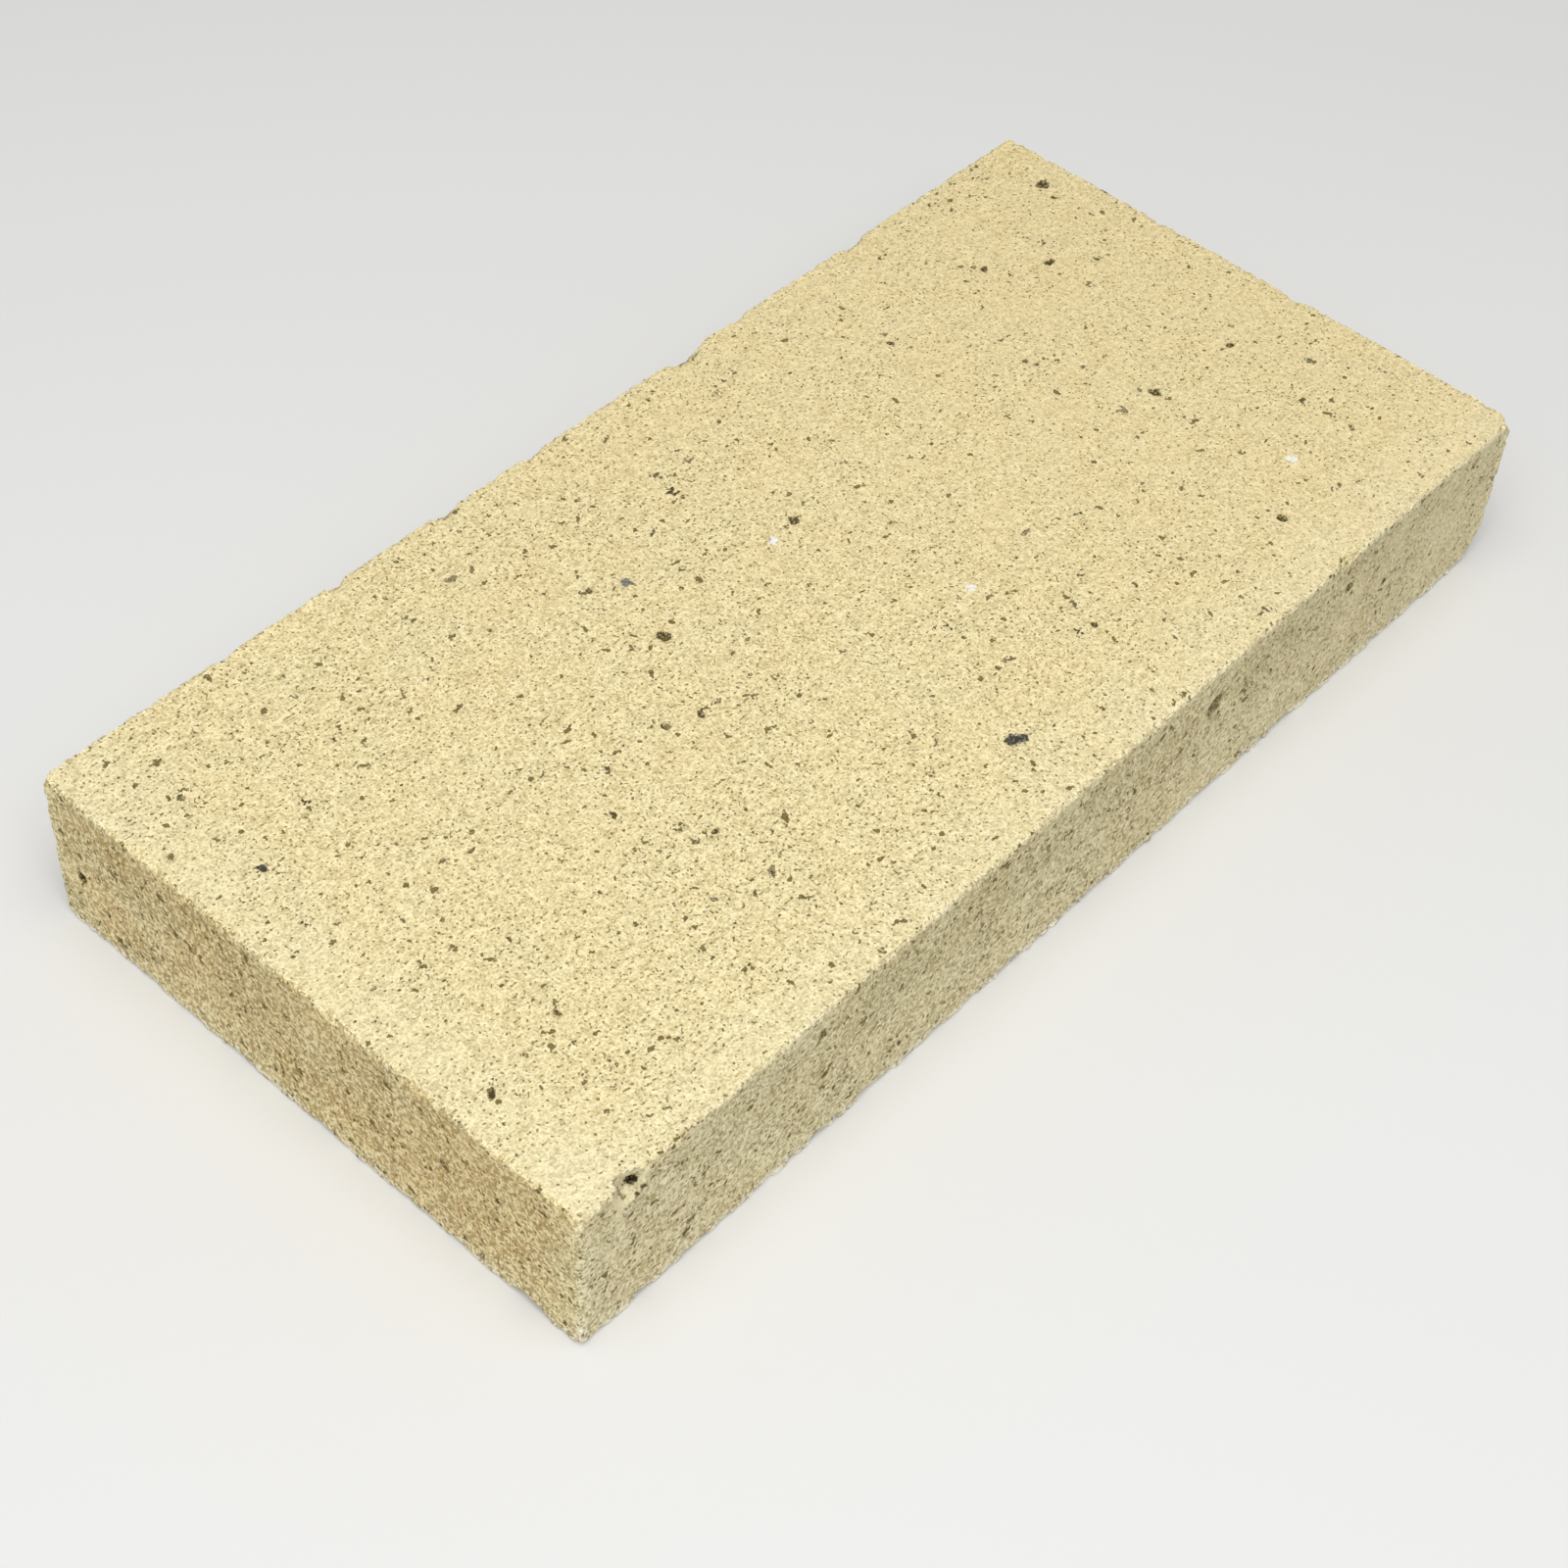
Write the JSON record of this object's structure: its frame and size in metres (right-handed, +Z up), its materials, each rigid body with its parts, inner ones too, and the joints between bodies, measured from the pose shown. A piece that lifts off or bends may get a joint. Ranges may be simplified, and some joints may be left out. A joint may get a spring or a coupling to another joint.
{
  "type": "clay brick",
  "caption": "Thin rectangular clay brick with flat faces, lightly chipped arrises and small firing pits, laid or bonded on its faces to build or line a hearth, oven or wall.",
  "frame": {"origin": "middle of the lower bed face, on which the brick lies", "axes": "+X along the length, +Y across the width towards the back long side, +Z up through the thickness"},
  "size_m": [0.23, 0.114, 0.032],
  "materials": {
    "fired_clay": "matte, open-pored fired clay, cream-yellow with fine grain and small dark pores"
  },
  "bodies": {
    "root": {"brick": "fired_clay"}
  },
  "joints": []
}
